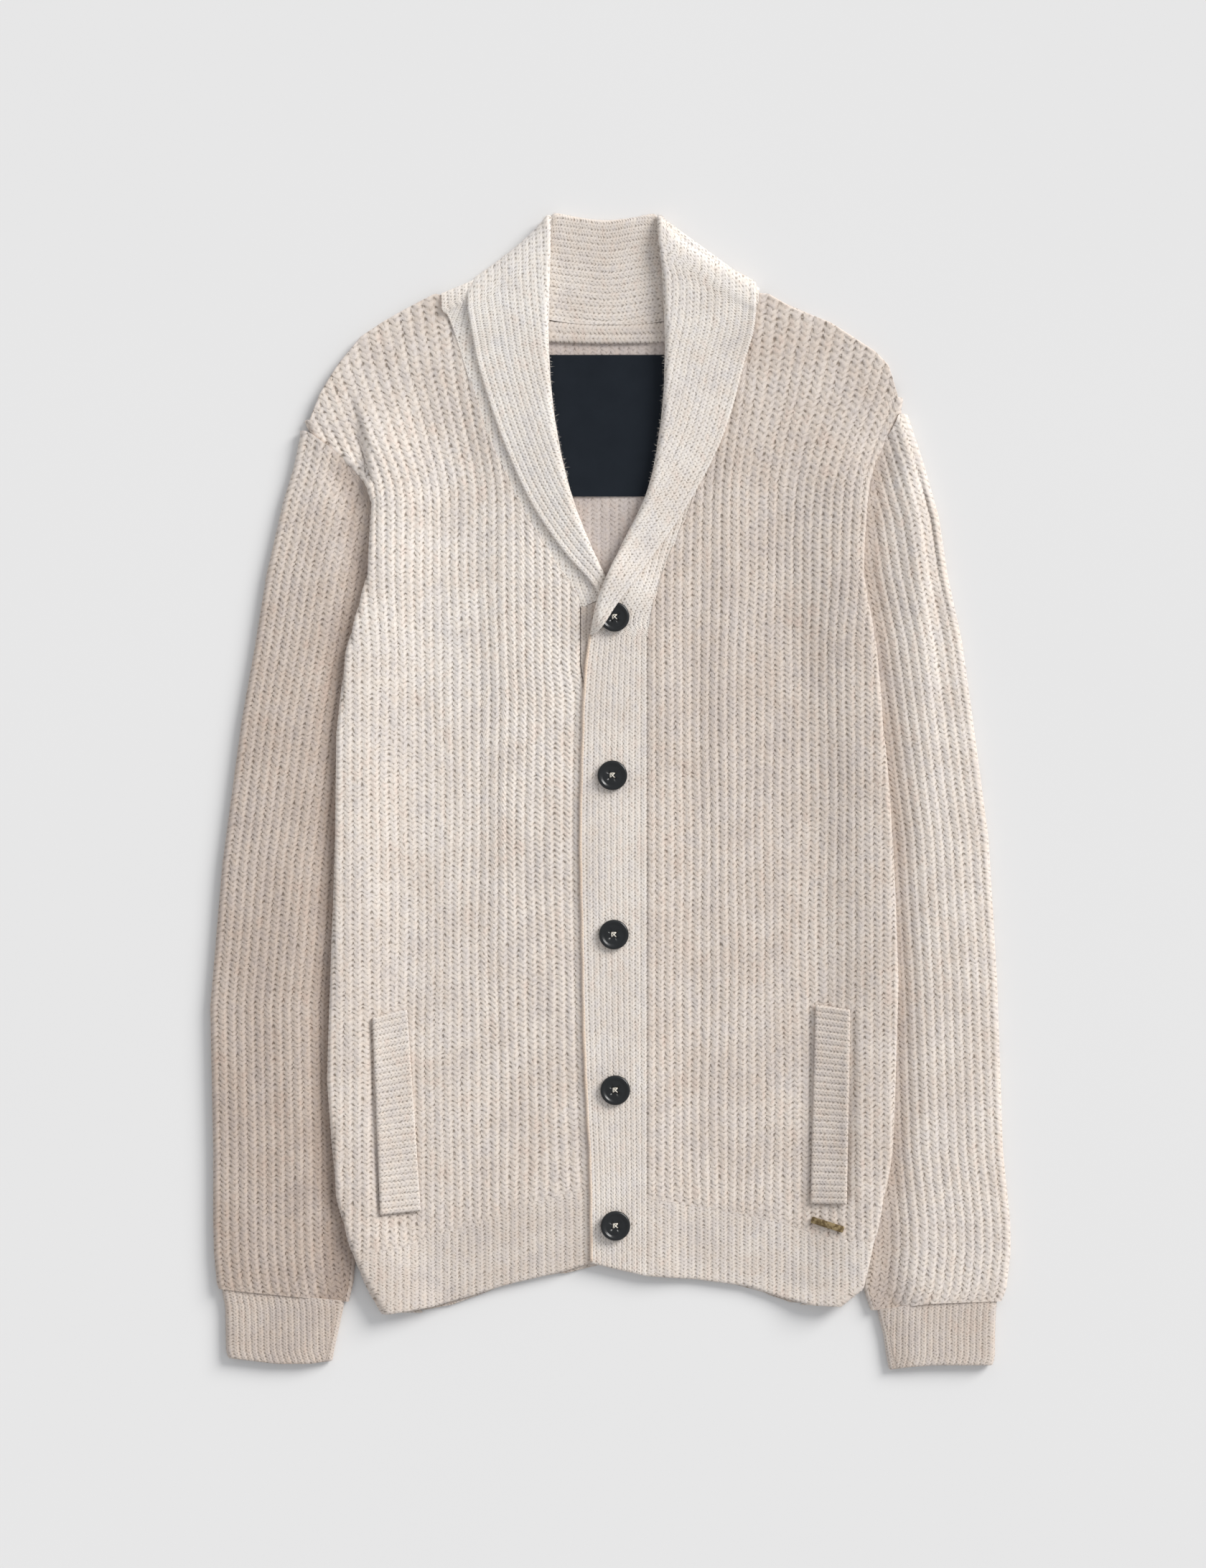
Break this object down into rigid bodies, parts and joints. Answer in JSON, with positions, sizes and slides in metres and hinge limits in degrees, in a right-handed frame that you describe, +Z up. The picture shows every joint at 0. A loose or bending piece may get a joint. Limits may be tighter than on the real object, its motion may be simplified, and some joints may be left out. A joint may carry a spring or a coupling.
{
  "type": "shawl collar cardigan",
  "caption": "Chunky ribbed wool cardigan with a shawl collar, buttoned up and laid flat on its back, with long sleeves, ribbed hem and cuffs and two welt pockets.",
  "frame": {"origin": "middle of the footprint, on the surface that the garment lies on", "axes": "+X to the wearer's left side, +Y from hem to collar, +Z up, out of the garment's front"},
  "size_m": [0.5541, 0.8046, 0.0153],
  "materials": {
    "wool_knit": "chunky half cardigan rib in oatmeal melange wool, soft and hairy",
    "label_cloth": "smooth woven black label, bare",
    "button": "near black, polished rim and dished middle",
    "brass_trim": "aged, brushed, bare"
  },
  "bodies": {
    "root": {"back": "wool_knit", "hem_back": "wool_knit", "front_right": "wool_knit", "front_left": "wool_knit", "hem_right": "wool_knit", "hem_left": "wool_knit", "sleeve_right": "wool_knit", "sleeve_left": "wool_knit", "cuff_right": "wool_knit", "cuff_left": "wool_knit", "band_right": "wool_knit", "band_left": "wool_knit", "collar": "wool_knit", "neck_tape": "wool_knit", "pocket_welt_right": "wool_knit", "pocket_welt_left": "wool_knit", "label": "label_cloth", "button_1": "button", "button_2": "button", "button_3": "button", "button_4": "button", "button_5": "button", "trim_bar": "brass_trim"}
  },
  "joints": []
}
